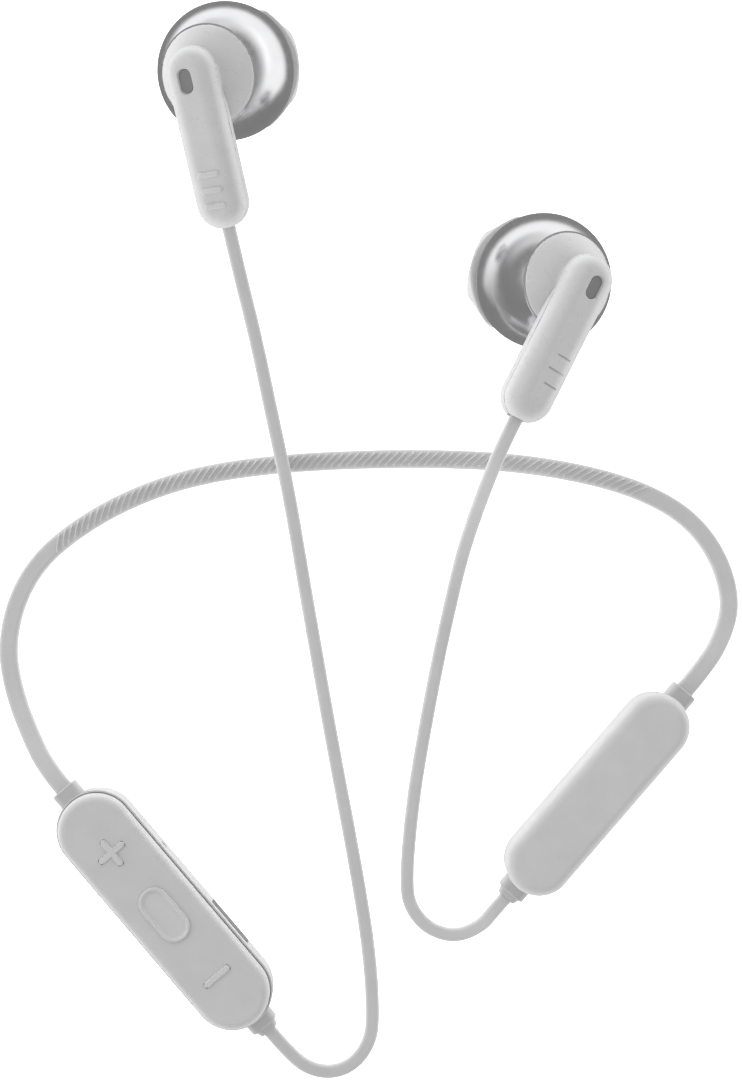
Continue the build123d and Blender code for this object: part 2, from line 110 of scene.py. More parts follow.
# ---------------------------------------------------------------- cable routes, in metres
neck_route = [
    (-0.04220, -0.03410, 0.0033), (-0.04466, -0.03121, 0.0032), (-0.0470, -0.0269, 0.0020),
    (-0.0493, -0.0214, 0.00095), (-0.0505, -0.0150, 0.00078), (-0.0491, -0.0082, 0.00078),
    (-0.0459, -0.0028, 0.00078), (-0.0410, 0.0014, 0.00078), (-0.0340, 0.0055, 0.00078),
    (-0.0255, 0.0086, 0.00078), (-0.0155, 0.0103, 0.00078), (-0.0040, 0.0111, 0.00078),
    (0.0085, 0.0113, 0.00078), (0.0200, 0.01075, 0.00078), (0.0305, 0.0090, 0.00078),
    (0.0386, 0.0064, 0.00078), (0.0445, 0.0027, 0.00078), (0.0483, -0.0026, 0.00078),
    (0.0499, -0.0088, 0.00085), (0.0483, -0.0138, 0.0019), (0.04560, -0.01767, 0.0032),
    (0.04305, -0.02062, 0.0033),
]
left_route = [
    (-0.01909, 0.04191, 0.00953), (-0.01786, 0.03634, 0.00802), (-0.0158, 0.0278, 0.0045),
    (-0.0133, 0.0156, 0.0027), (-0.0113, 0.0064, 0.0024), (-0.0091, -0.0070, 0.0008),
    (-0.0055, -0.0275, 0.0007), (-0.0023, -0.0442, 0.0007), (-0.0002, -0.0570, 0.0007),
    (0.00035, -0.0666, 0.0007), (-0.00035, -0.0699, 0.0007), (-0.0024, -0.0726, 0.0007),
    (-0.0054, -0.07375, 0.0009), (-0.0087, -0.0729, 0.0019), (-0.01145, -0.07030, 0.0031),
    (-0.01394, -0.06730, 0.0033),
]
right_route = [
    (0.01903, 0.01577, 0.01479), (0.01710, 0.01194, 0.01508), (0.01475, 0.0056, 0.0106),
    (0.0125, -0.0016, 0.0057), (0.01095, -0.0088, 0.0020), (0.00935, -0.0162, 0.0007),
    (0.0074, -0.0264, 0.0007), (0.0057, -0.0366, 0.0007), (0.00475, -0.0480, 0.0007),
    (0.00575, -0.0515, 0.0007), (0.00835, -0.0541, 0.0007), (0.0119, -0.0549, 0.0009),
    (0.0153, -0.0532, 0.0019), (0.01685, -0.05095, 0.0031), (0.01849, -0.04908, 0.0033),
]


# ---------------------------------------------------------------- mesh helpers
def link_mesh(name, vertices, faces):
    mesh = bpy.data.meshes.new(name)
    mesh.from_pydata([tuple(v) for v in vertices], [], [tuple(f) for f in faces])
    mesh.update()
    piece = bpy.data.objects.new(name, mesh)
    scene.collection.objects.link(piece)
    return piece


def smooth_shading(piece, sharp_degrees=40):
    mesh = piece.data
    mesh.polygons.foreach_set("use_smooth", np.ones(len(mesh.polygons), bool))
    mesh.set_sharp_from_angle(angle=radians(sharp_degrees))
    mesh.update()


def apply_modifiers(piece):
    depsgraph = bpy.context.evaluated_depsgraph_get()
    mesh = bpy.data.meshes.new_from_object(piece.evaluated_get(depsgraph))
    piece.modifiers.clear()
    piece.data = mesh


def combine(piece, tools, operation):
    """Takes tools out of a piece or joins them on, with crisp edges."""
    for cutter in tools:
        modifier = piece.modifiers.new("combine", "BOOLEAN")
        modifier.object = cutter
        modifier.operation = operation
        modifier.solver = "EXACT"
        apply_modifiers(piece)
        bpy.data.objects.remove(cutter)


def surface_net(field, low, high, pitch):
    """Vertices and quads of the zero surface of a distance field, one vertex per crossed cell."""
    counts = [int((high[i] - low[i]) / pitch) + 2 for i in range(3)]
    axes = [low[i] + pitch * np.arange(counts[i]) for i in range(3)]
    value = field(np.stack(np.meshgrid(*axes, indexing="ij"), -1))
    cells = np.array(value.shape) - 1
    total = np.zeros((cells.prod(), 3))
    hits = np.zeros(cells.prod())
    quads = []
    for axis, u, v in ((0, 1, 2), (1, 2, 0), (2, 0, 1)):
        turned = np.transpose(value, (axis, u, v))
        start, end = turned[:-1], turned[1:]
        crossed = (start < 0) != (end < 0)
        crossed[:, [0, -1]] = False
        crossed[:, :, [0, -1]] = False
        at = np.argwhere(crossed)
        share = start[crossed] / (start[crossed] - end[crossed])
        corner = np.empty_like(at)
        corner[:, [axis, u, v]] = at
        place = corner.astype(float)
        place[:, axis] += share
        around = []
        for back_u, back_v in ((1, 1), (0, 1), (0, 0), (1, 0)):
            cell = corner.copy()
            cell[:, u] -= back_u
            cell[:, v] -= back_v
            number = np.ravel_multi_index(cell.T, cells)
            np.add.at(total, number, place)
            np.add.at(hits, number, 1)
            around.append(number)
        quad = np.stack(around, 1)
        outward = start[crossed] < 0
        quads.append(np.where(outward[:, None], quad, quad[:, ::-1]))
    quads = np.concatenate(quads)
    used, quads = np.unique(quads, return_inverse=True)
    vertices = total[used] / hits[used][:, None] * pitch + np.array(low)
    quads = quads.reshape(-1, 4)
    vertices = settle(field, vertices, pitch)
    for _ in range(3):
        vertices = settle(field, evened(vertices, quads), pitch)
    return vertices, quads


def evened(vertices, quads):
    """Moves each vertex half way to the middle of its neighbours, so the quads are alike in size."""
    total = np.zeros_like(vertices)
    hits = np.zeros(len(vertices))
    for corner in range(4):
        for other in (corner + 1, corner + 3):
            np.add.at(total, quads[:, corner], vertices[quads[:, other % 4]])
            np.add.at(hits, quads[:, corner], 1)
    return (vertices + total / hits[:, None]) / 2


def settle(field, points, pitch):
    """Moves points onto the zero surface along its slope."""
    step = pitch * 0.05
    for _ in range(3):
        value = field(points)
        slope = np.stack([(field(points + step * unit) - value) / step for unit in np.eye(3)], -1)
        size = np.maximum((slope ** 2).sum(-1), 0.25)
        move = slope * (value / size)[:, None]
        points = points - np.clip(move, -0.4 * pitch, 0.4 * pitch)
    return points


# ---------------------------------------------------------------- distance fields, millimetres
def smooth_min(a, b, blend):
    share = np.clip(0.5 + 0.5 * (b - a) / blend, 0, 1)
    return b + (a - b) * share - blend * share * (1 - share)


def smooth_max(a, b, blend):
    return -smooth_min(-a, -b, blend)


def to_frame(points, matrix):
    """Points written in the frame that a 4x4 matrix places."""
    inverse = np.array(matrix.inverted())
    return points @ inverse[:3, :3].T + inverse[:3, 3]


cap_frame = Matrix.Rotation(radians(-cap_lean), 4, "Y")
stem_frame = (
    cap_frame
    @ Matrix.Translation((stem_offset, stem_top_y, stem_top_z))
    @ Matrix.Rotation(radians(stem_fall), 4, "X")
)


def stem_field(points):
    """A bar with round ends and rounded edges, in the stem's own frame."""
    along = np.clip(points[..., 1], -stem_length + stem_width / 2, -stem_width / 2)
    across = np.hypot(points[..., 0], points[..., 1] - along) - (stem_width / 2 - stem_rounding)
    above = np.abs(points[..., 2]) - (stem_thickness / 2 - stem_rounding)
    outside = np.hypot(np.maximum(across, 0), np.maximum(above, 0))
    return outside + np.minimum(np.maximum(across, above), 0) - stem_rounding


def outer_shell_field(points):
    """The disc with the front half of the stem growing out of it, as one hollow shell."""
    radius = np.linalg.norm(points, axis=-1)
    over_joint = to_frame(points, cap_frame)[..., 2] - cap_height
    in_stem = to_frame(points, stem_frame)
    bar = stem_field(in_stem)
    cap = smooth_max(radius - bowl_radius, -over_joint, disc_edge)
    front_bar = smooth_max(bar, -stem_split - in_stem[..., 2], stem_split)
    solid = smooth_min(cap, front_bar, stem_foot)
    hollow = np.minimum(radius - (bowl_radius - cap_wall), bar + stem_wall)
    shell = np.maximum(solid, -hollow)
    bowl_room = smooth_max(radius - bowl_radius - bowl_gap, over_joint, 0.1)
    return np.maximum(shell, -bowl_room)


def nozzle_frame():
    dip, swing = radians(nozzle_dip), radians(nozzle_swing)
    out = Vector((cos(dip) * cos(swing), cos(dip) * sin(swing), -sin(dip)))
    across = Vector((-sin(swing), cos(swing), 0))
    up = out.cross(across)
    turn = Matrix((across, up, out)).transposed().to_4x4()
    return Matrix.Translation(nozzle_tip) @ turn


def nozzle_field(points, inset=0.0):
    """A tapering oval bar that ends at the nozzle's tip plane, or its bore if inset is the wall."""
    back = -points[..., 2]
    share = back / nozzle_length
    half_x = nozzle_tip_size[0] + (nozzle_root_size[0] - nozzle_tip_size[0]) * share - inset
    half_y = nozzle_tip_size[1] + (nozzle_root_size[1] - nozzle_tip_size[1]) * share - inset
    least_half = 0.5
    half_x = np.maximum(half_x, least_half)
    half_y = np.maximum(half_y, least_half)
    ring = np.hypot(points[..., 0] / half_x, points[..., 1] / half_y)
    side = (ring - 1) * np.minimum(half_x, half_y) * 0.8
    body = smooth_max(side, points[..., 2], nozzle_rounding if inset == 0 else 0.05)
    return smooth_max(body, back - nozzle_length, nozzle_root_blend)


def dome_field(points, inset=0.0):
    """A flattened ball whose lowest point is front_depth below the bowl's centre."""
    sizes = np.array([front_radius - inset, front_radius - inset, front_depth + dome_centre - inset])
    moved = points - np.array([0, 0, dome_centre])
    near = np.linalg.norm(moved / sizes, axis=-1)
    steep = np.maximum(np.linalg.norm(moved / sizes ** 2, axis=-1), 1e-6)
    return near * (near - 1) / steep


def front_shell_field(points):
    """The ear side: a shallow dome that flows into the oval nozzle, hollow, open at the mouth."""
    in_nozzle = to_frame(points, nozzle_frame())
    solid = smooth_min(dome_field(points), nozzle_field(in_nozzle), nozzle_foot)
    solid = np.maximum(solid, points[..., 2] - front_rim)
    bore = nozzle_field(in_nozzle, front_wall) + bore_inset
    hollow = smooth_min(dome_field(points, front_wall), bore, nozzle_foot_inside)
    half_x, half_y = nozzle_tip_size[0] - nozzle_lip, nozzle_tip_size[1] - nozzle_lip
    mouth = np.hypot(in_nozzle[..., 0] / half_x, in_nozzle[..., 1] / half_y)
    mouth = np.maximum((mouth - 1) * half_y, -in_nozzle[..., 2] - mouth_depth)
    return np.maximum(np.maximum(solid, -hollow), -mouth)


# ---------------------------------------------------------------- earbuds
def middle_of(node):
    low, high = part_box(node)
    return (low + high) / 2


def bud_matrix(side):
    """Places an earbud's own millimetre frame in the scene.  The mirrored earbud flips X."""
    turn, slope, lean, flip = bud_attitudes[side]
    attitude = (
        Matrix.Rotation(radians(turn), 4, "Z")
        @ Matrix.Rotation(radians(slope), 4, "X")
        @ Matrix.Rotation(radians(lean), 4, "Y")
    )
    up = attitude.to_3x3() @ Vector((0, 0, magnet_middle * MM))
    centre = middle_of(side + "_magnet") - up
    scale = Matrix.Diagonal((flip * MM, MM, MM, 1))
    return Matrix.Translation(centre) @ attitude @ scale


def placed_mesh(name, vertices, faces, matrix):
    """A mesh placed by a matrix, its faces turned over if the matrix mirrors."""
    place = np.array(matrix)
    vertices = vertices @ place[:3, :3].T + place[:3, 3]
    if matrix.determinant() < 0:
        faces = faces[:, ::-1]
    return link_mesh(name, vertices, faces)


def soft_bar(length, width, profile, steps=12):
    """Vertices and faces of a round-ended bar along Y.  The profile gives (inset, height) loops."""
    vertices, faces = [], []
    count = 2 * (steps + 1)
    for inset, height in profile:
        radius = width / 2 - inset
        reach = (length - width) / 2
        for end, first in ((1, 0), (-1, pi)):
            for step in range(steps + 1):
                angle = first + pi * step / steps
                vertices.append((radius * cos(angle), end * reach + radius * sin(angle), height))
    for row in range(len(profile) - 1):
        for i in range(count):
            j = (i + 1) % count
            below, above = row * count, (row + 1) * count
            faces.append((below + i, below + j, above + j, above + i))
    faces.append(tuple(range(count))[::-1])
    faces.append(tuple(range((len(profile) - 1) * count, len(profile) * count)))
    return vertices, faces


def placed_bar(matrix, length, width, profile):
    """A soft bar placed by a matrix."""
    vertices, faces = soft_bar(length, width, profile)
    if matrix.determinant() < 0:
        faces = [face[::-1] for face in faces]
    return link_mesh("bar", [matrix @ Vector(v) for v in vertices], faces)


def on_stem(x, y, turn=0.0):
    """A place on the stem's face, turned about the face's normal."""
    place = Matrix.Translation((x, y, stem_thickness / 2))
    return stem_frame @ place @ Matrix.Rotation(radians(turn), 4, "Z")


def cable_way():
    """The middle of the stem's end, with Z pointing out of it along the cable."""
    end = stem_frame @ Matrix.Translation((0, -stem_length, 0))
    return end @ Matrix.Rotation(radians(90), 4, "X")


# The boxes that the two moulded shells lie in: their low and high corners.
shell_room = (-9.5, -22.5, -1.0), (9.5, 9.5, 13.0)
front_room = (-9.6, -9.6, -7.6), (12.6, 9.9, -0.3)
shell_vertices, shell_faces = surface_net(outer_shell_field, *shell_room, net_pitch)
front_vertices, front_faces = surface_net(front_shell_field, *front_room, net_pitch)


# Plain marks on the stems: engraved lines on the right one, raised bars on the left one.
engraved_lines = ((-14.4, 2.2), (-16.5, 3.0), (-18.6, 2.2))  # place along the stem, and length
engraved_width = 0.26
engraved_depth = 0.2
engraved_offset = -0.9
raised_bars = (-16.7, -18.8, -20.9)  # places along the stem
raised_length = 3.0
raised_width = 0.8
raised_height = 0.24
raised_profile = [(0, -0.4), (0, 0.04), (0.1, raised_height - 0.03), (0.2, raised_height)]

slot_rim = 0.2  # width of the step round the vent slot
slot_step = 0.22  # its depth
slot_depth = 2.0
grommet_hole_depth = 3.0
cut_above = 1.0  # how far a cutter stands out of the surface that it cuts


def make_outer_shell(side):
    matrix = bud_matrix(side)
    shell = placed_mesh(side + "_outer_shell_moulding", shell_vertices, shell_faces, matrix)
    slot_place = matrix @ on_stem(slot_offset, -slot_from_top)
    slot_cut = [(0, -slot_depth), (0, cut_above)]
    step_cut = [(slot_rim, -slot_step), (0, 0), (0, cut_above)]
    hole_cut = [(0, -grommet_hole_depth), (0, grommet_hole_depth)]
    line_cut = [(0, -engraved_depth), (0, cut_above)]
    step_size = (slot_length + 2 * slot_rim, slot_width + 2 * slot_rim)
    cutters = [
        placed_bar(slot_place, slot_length, slot_width, slot_cut),
        placed_bar(slot_place, *step_size, step_cut),
        placed_bar(matrix @ cable_way(), 2 * grommet_radius, 2 * grommet_radius, hole_cut),
    ]
    if side == "right":
        for place, length in engraved_lines:
            line_place = matrix @ on_stem(engraved_offset, place, 90)
            cutters.append(placed_bar(line_place, length, engraved_width, line_cut))
    combine(shell, cutters, "DIFFERENCE")
    if side == "left":
        places = [matrix @ on_stem(0, place, 90) for place in raised_bars]
        bars = [placed_bar(place, raised_length, raised_width, raised_profile) for place in places]
        combine(shell, bars, "UNION")
    smooth_shading(shell)
    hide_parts(side + "_outer_shell")
    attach(shell, "headset")
    return shell


grommet_gap = 0.03
grommet_profile = [(0, -2.2), (0, -0.62), (0.12, -0.5)]  # (inset, height over the stem's end)


def make_grommet(side):
    """The cable's soft ring, set a little way into the stem's end."""
    size = 2 * (grommet_radius - grommet_gap)
    ring = placed_bar(bud_matrix(side) @ cable_way(), size, size, grommet_profile)
    smooth_shading(ring)
    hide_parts(side + "_cable_grommet")
    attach(ring, "headset")
    return ring


contact_height = 0.00002  # an earbud flattens onto the table here


def make_front_shell(side):
    front = placed_mesh(side + "_front_shell_moulding", front_vertices, front_faces, bud_matrix(side))
    heights = np.array([v.co.z for v in front.data.vertices])
    for vertex, height in zip(front.data.vertices, np.maximum(heights, contact_height)):
        vertex.co.z = height
    smooth_shading(front)
    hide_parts(side + "_front_shell")
    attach(front, "headset")
    return front


# ---------------------------------------------------------------- keys
remote_turn = -49.6
key_skirt = 0.045  # a soft key fills most of the gap round it
oval_size = (8.4, 4.3)
mark_size = (4.2, 0.75)
oval_profile = [  # (inset, height over the key's top), millimetres
    (0.0, -1.1), (0.0, -0.18), (0.06, -0.05), (0.18, 0.0), (0.32, 0.0),
    (0.44, -0.04), (0.56, -0.16), (0.66, -0.22), (0.8, -0.24), (1.1, -0.24),
]
mark_profile = [(0.0, -1.05), (0.0, -0.12), (0.05, -0.03), (0.12, 0.0), (0.2, 0.0)]
key_profiles = {"play": oval_profile, "volume_up": mark_profile, "volume_down": mark_profile}


def make_key(name):
    """A key's face with soft edges: the oval with its raised rim, the plus or the minus."""
    low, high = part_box(name + "_key")
    middle = (low + high) / 2
    place = Matrix.Translation((middle[0], middle[1], high[2]))
    place = place @ Matrix.Rotation(radians(remote_turn), 4, "Z") @ Matrix.Scale(MM, 4)
    across = Matrix.Rotation(radians(90), 4, "Z")
    length, width = oval_size if name == "play" else mark_size
    profile = key_profiles[name]
    size = (length + 2 * key_skirt, width + 2 * key_skirt)
    face = placed_bar(place @ across if name == "play" else place, *size, profile)
    if name == "volume_up":
        combine(face, [placed_bar(place @ across, *size, profile)], "UNION")
    face.name = name + "_key_face"
    smooth_shading(face)
    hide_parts(name + "_key")
    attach(face, name + "_button")
    return face


# ---------------------------------------------------------------- cables
def route_line(route):
    """Points along the smooth NURBS line of a route, evenly spaced, in the part's frame."""
    curve = bpy.data.curves.new("route", "CURVE")
    curve.dimensions = "3D"
    spline = curve.splines.new("NURBS")
    spline.points.add(len(route) - 1)
    for point, (x, y, z) in zip(spline.points, route):
        point.co = (x - layout_middle[0], y - layout_middle[1], z, 1)
    spline.order_u = 3
    spline.use_endpoint_u = True
    spline.resolution_u = 24
    holder = bpy.data.objects.new("route", curve)
    scene.collection.objects.link(holder)
    line = bpy.data.meshes.new_from_object(holder)
    points = np.array([v.co for v in line.vertices])
    bpy.data.objects.remove(holder)
    return points


def evenly(points, step):
    """The line's points moved to even spacing, with the distance along it."""
    along = np.concatenate([[0], np.cumsum(np.linalg.norm(np.diff(points, axis=0), axis=1))])
    places = np.linspace(0, along[-1], int(along[-1] / step) + 1)
    return np.stack([np.interp(places, along, points[:, i]) for i in range(3)], 1), places


corner_share = 0.4  # a flat cable's corner radius, as a share of its thickness
corner_steps = 4


def flat_section(width, thickness, top_steps):
    """A flat cable's section: offsets across and up, counter-clockwise from the right."""
    corner = thickness * corner_share
    half_x, half_z = width / 2 - corner, thickness / 2 - corner
    section = []
    for centre_x, centre_z, first in ((half_x, half_z, 0), (-half_x, half_z, pi / 2),
                                      (-half_x, -half_z, pi), (half_x, -half_z, 3 * pi / 2)):
        for step in range(corner_steps + 1):
            angle = first + pi / 2 * step / corner_steps
            section.append((centre_x + corner * cos(angle), centre_z + corner * sin(angle)))
        if first == 0:
            for step in range(1, top_steps):
                section.append((half_x - 2 * half_x * step / top_steps, thickness / 2))
    return np.array(section)


def cable_mesh(name, line, section, lift=None):
    """A flat cable along a line, flat side up.  lift(along, across, top) raises its surface."""
    points, along = line
    tangents = np.gradient(points, axis=0)
    tangents /= np.linalg.norm(tangents, axis=1)[:, None]
    side = np.cross(tangents, (0, 0, 1.0))
    side /= np.linalg.norm(side, axis=1)[:, None]
    up = np.cross(side, tangents)
    across = np.broadcast_to(section[:, 0], (len(points), len(section)))
    height = np.broadcast_to(section[:, 1], across.shape).copy()
    if lift is not None:
        height += lift(along[:, None], across)
    surface = points[:, None] + side[:, None] * across[..., None] + up[:, None] * height[..., None]
    rows, count = len(points), len(section)
    number = np.arange(rows * count).reshape(rows, count)
    right, ahead = np.roll(number, -1, 1)[:-1], np.roll(number, -1, 1)[1:]
    faces = np.stack([number[:-1], right, ahead, number[1:]], -1).reshape(-1, 4).tolist()
    faces.append(tuple(number[0][::-1]))
    faces.append(tuple(number[-1]))
    return link_mesh(name, surface.reshape(-1, 3), faces)


rib_pitch = 0.00108
rib_lean = 1.15  # how far a rib runs along the cable for each step across it
rib_width = 0.00042
rib_height = 0.00022
rib_zone = 0.00080  # half width of the ribbed band
rib_fade = 0.00008  # how quickly a rib's end comes down
rib_flat = 1.5  # above 1, a rib's crest is flat
rib_start, rib_end = 0.0370, 0.1210  # ribbed stretch, measured along the cable


def neck_ribs(along, across):
    """Slanting ribs along the middle of the neck cable's top."""
    phase = (along + rib_lean * across) / rib_pitch
    from_middle = np.abs(phase - np.round(phase)) * rib_pitch
    rib = np.clip(rib_flat * (1 - from_middle / (rib_width / 2)), 0, 1)
    rib = rib * rib * (3 - 2 * rib)
    middle = np.round(phase) * rib_pitch
    inside_band = np.clip((rib_zone - np.abs(across)) / rib_fade, 0, 1)
    inside_stretch = (middle > rib_start) & (middle < rib_end)
    return rib * inside_band * inside_stretch * rib_height


def make_cable(node, route, width, thickness, step, top_steps, lift=None, root=0.0):
    """A cable's jacket along its route.  root is how much further it runs inside an earbud's stem."""
    points, along = evenly(route_line(route), step)
    drawn = (points, along)
    if root:
        first = points[0] + (points[0] - points[1]) * root / step
        drawn = (np.vstack([first, points]), np.concatenate([[0], along + root]))
    section = flat_section(width, thickness, top_steps)
    top = section[:, 1] > thickness / 2 - 1e-7
    raised = None
    if lift is not None:
        def raised(place, across):
            return lift(place, across) * top
    cable = cable_mesh(node + "_jacket", drawn, section, raised)
    smooth_shading(cable, 60)
    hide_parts(node)
    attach(cable, "headset")
    return cable


# ---------------------------------------------------------------- materials
def shader(name, colour, roughness, metallic=0.0):
    """A new material and its Principled shader, with plain values set on the shader itself."""
    material = bpy.data.materials.new(name)
    material.use_nodes = True
    nodes = material.node_tree.nodes
    principled = nodes["Principled BSDF"]
    principled.inputs["Base Color"].default_value = (*colour, 1)
    principled.inputs["Roughness"].default_value = roughness
    principled.inputs["Metallic"].default_value = metallic
    return material, nodes, material.node_tree.links, principled


def noise(nodes, links, scale, detail=3.0, rough=0.5, stretch=(1, 1, 1)):
    """Noise in object space: scale is cycles per metre."""
    place = nodes.new("ShaderNodeTexCoord")
    mapping = nodes.new("ShaderNodeMapping")
    mapping.inputs["Scale"].default_value = [scale * s for s in stretch]
    texture = nodes.new("ShaderNodeTexNoise")
    texture.inputs["Scale"].default_value = 1.0
    texture.inputs["Detail"].default_value = detail
    texture.inputs["Roughness"].default_value = rough
    links.new(place.outputs["Object"], mapping.inputs["Vector"])
    links.new(mapping.outputs["Vector"], texture.inputs["Vector"])
    return texture.outputs["Fac"]


def ramp(nodes, links, source, stops):
    """Colours or greys by position along a value from 0 to 1."""
    node = nodes.new("ShaderNodeValToRGB")
    elements = node.color_ramp.elements
    while len(elements) < len(stops):
        elements.new(0.5)
    for element, (position, colour) in zip(elements, stops):
        element.position = position
        element.color = (*colour, 1) if hasattr(colour, "__len__") else (colour, colour, colour, 1)
    links.new(source, node.inputs["Fac"])
    return node.outputs["Color"]


def bump(nodes, links, principled, source, strength, depth):
    node = nodes.new("ShaderNodeBump")
    node.inputs["Strength"].default_value = strength
    node.inputs["Distance"].default_value = depth
    links.new(source, node.inputs["Height"])
    links.new(node.outputs["Normal"], principled.inputs["Normal"])


def tint(colour, factor):
    return tuple(min(1.0, channel * factor) for channel in colour)


def uneven(surface, colour, roughness, spread, gloss_spread, cloud_scale, gloss_scale):
    """Gives a surface faint clouds of colour and an uneven gloss.  Scales are cycles per metre."""
    nodes, links, principled = surface
    clouds = noise(nodes, links, cloud_scale, detail=4, rough=0.6)
    shades = [(0.3, tint(colour, 1 - spread)), (0.7, tint(colour, 1 + spread))]
    links.new(ramp(nodes, links, clouds, shades), principled.inputs["Base Color"])
    gloss = noise(nodes, links, gloss_scale, detail=3, rough=0.6)
    levels = [(0.3, roughness - gloss_spread[0]), (0.7, roughness + gloss_spread[1])]
    links.new(ramp(nodes, links, gloss, levels), principled.inputs["Roughness"])


def moulded_plastic(name, colour, roughness, grain, grain_depth, spread=0.03):
    """Moulded plastic or rubber: a spark-eroded grain, faint mottling and an uneven gloss."""
    material, *surface = shader(name, colour, roughness)
    uneven(surface, colour, roughness, spread, gloss_spread=(0.05, 0.06), cloud_scale=260, gloss_scale=900)
    nodes, links, principled = surface
    pits = noise(nodes, links, grain, detail=2, rough=0.5)
    bump(nodes, links, principled, pits, strength=0.35, depth=grain_depth)
    return material


def satin_metal(name, colour, roughness, grain=2500, depth=0.000004, stretch=(1, 1, 1)):
    """Blasted and plated metal: very fine pits and a gently uneven gloss."""
    material, *surface = shader(name, colour, roughness, metallic=1.0)
    uneven(surface, colour, roughness, 0.03, gloss_spread=(0.03, 0.04), cloud_scale=300, gloss_scale=1200)
    nodes, links, principled = surface
    pits = noise(nodes, links, grain, detail=2, rough=0.5, stretch=stretch)
    bump(nodes, links, principled, pits, strength=0.25, depth=depth)
    return material


def woven_mesh(name, colour, pitch):
    """Fine acoustic mesh: crossing threads, with painted shade darkening the holes between them."""
    material, nodes, links, principled = shader(name, colour, roughness=0.8)
    place = nodes.new("ShaderNodeTexCoord")
    threads = []
    for axis in ("X", "Y"):
        wave = nodes.new("ShaderNodeTexWave")
        wave.wave_type = "BANDS"
        wave.bands_direction = axis
        wave.inputs["Scale"].default_value = 1 / pitch / 2
        links.new(place.outputs["Object"], wave.inputs["Vector"])
        threads.append(wave.outputs["Fac"])
    most = nodes.new("ShaderNodeMath")
    most.operation = "MAXIMUM"
    links.new(threads[0], most.inputs[0])
    links.new(threads[1], most.inputs[1])
    # Painted shade: the holes between the threads get a darker grey than the threads themselves.
    shades = [(0.35, tint(colour, 0.55)), (0.8, tint(colour, 1.15))]
    links.new(ramp(nodes, links, most.outputs[0], shades), principled.inputs["Base Color"])
    bump(nodes, links, principled, most.outputs[0], strength=0.6, depth=0.00002)
    return material


def circuit_board(name):
    """Green solder mask with copper tracks faintly showing."""
    green, track_green = (0.02, 0.16, 0.07), (0.05, 0.26, 0.12)
    material, nodes, links, principled = shader(name, green, roughness=0.35)
    tracks = noise(nodes, links, 900, detail=1, rough=0.5, stretch=(1, 3, 1))
    shades = [(0.47, green), (0.5, track_green), (0.53, green)]
    links.new(ramp(nodes, links, tracks, shades), principled.inputs["Base Color"])
    bump(nodes, links, principled, tracks, strength=0.3, depth=0.00001)
    return material


def wound_copper(name):
    """Fine enamelled wire, wound in close turns, with painted shade darkening the grooves between the
    turns.
    """
    copper = (0.62, 0.24, 0.09)
    material, nodes, links, principled = shader(name, copper, roughness=0.3, metallic=1.0)
    place = nodes.new("ShaderNodeTexCoord")
    wave = nodes.new("ShaderNodeTexWave")
    wave.bands_direction = "Z"
    wave.inputs["Scale"].default_value = 4000
    links.new(place.outputs["Object"], wave.inputs["Vector"])
    # Painted shade: the grooves between the turns are coloured darker copper.
    shades = [(0.1, tint(copper, 0.6)), (0.8, copper)]
    links.new(ramp(nodes, links, wave.outputs["Fac"], shades), principled.inputs["Base Color"])
    bump(nodes, links, principled, wave.outputs["Fac"], strength=0.6, depth=0.00003)
    return material


def clear_window(name):
    """Frosted clear plastic over the status light."""
    material, nodes, links, principled = shader(name, (0.86, 0.88, 0.9), roughness=0.15)
    principled.inputs["Transmission Weight"].default_value = 0.6
    frost = noise(nodes, links, 1500, detail=2, rough=0.5)
    links.new(ramp(nodes, links, frost, [(0.3, 0.1), (0.7, 0.25)]), principled.inputs["Roughness"])
    return material


# Plastics give colour, roughness, grain in cycles per metre and its depth in metres.
finishes = {
    "shell_plastic": moulded_plastic("shell_plastic", (0.60, 0.60, 0.605), 0.42, 5000, 0.000006),
    "key_plastic": moulded_plastic("key_plastic", (0.63, 0.63, 0.635), 0.38, 5000, 0.000004),
    "bud_plastic": moulded_plastic("bud_plastic", (0.61, 0.61, 0.615), 0.3, 4200, 0.0000008),
    "collar_rubber": moulded_plastic("collar_rubber", (0.5, 0.5, 0.5), 0.55, 4200, 0.000008),
    "cable_rubber": moulded_plastic("cable_rubber", (0.60, 0.60, 0.60), 0.5, 4500, 0.000007),
    "bowl_metal": satin_metal("bowl_metal", (0.70, 0.70, 0.71), 0.2),
    "grille_steel": satin_metal("grille_steel", (0.5, 0.5, 0.51), 0.3),
    "vent_cloth": woven_mesh("vent_cloth", (0.24, 0.24, 0.24), pitch=0.00016),
    "switch_plastic": moulded_plastic("switch_plastic", (0.03, 0.03, 0.03), 0.5, 4000, 0.000006),
    "circuit_board": circuit_board("circuit_board"),
    "plated_steel": satin_metal("plated_steel", (0.72, 0.72, 0.72), 0.2, stretch=(1, 8, 1)),
    "black_plastic": moulded_plastic("black_plastic", (0.02, 0.02, 0.02), 0.5, 4000, 0.000006),
    "clear_window": clear_window("clear_window"),
    "cell_foil": satin_metal("cell_foil", (0.66, 0.66, 0.66), 0.35, grain=700, depth=0.00003),
    "foam": moulded_plastic("foam", (0.03, 0.03, 0.03), 0.9, 1500, 0.00008, spread=0.2),
    "coil_copper": wound_copper("coil_copper"),
    "film": moulded_plastic("film", (0.75, 0.73, 0.62), 0.25, 1200, 0.000004),
}


def dress(piece, slot):
    """Gives a new piece its slot's finish."""
    piece.data.materials.clear()
    piece.data.materials.append(finishes[slot])


def dress_cad_nodes():
    """Every carried-over CAD node gets its slot's finish, in its own material slots."""
    slots = {part["node"]: part["material_slot"] for part in frame["record"]["subparts"]}
    for node, piece in frame["nodes"].items():
        if not piece.material_slots:
            piece.data.materials.append(finishes[slots[node]])
        for material_slot in piece.material_slots:
            material_slot.material = finishes[slots[node]]


# ---------------------------------------------------------------- stage
floor_reach = 3  # from the middle to each edge
floor_drop = 0.00005  # keeps the floor clear of the pieces that stand on it


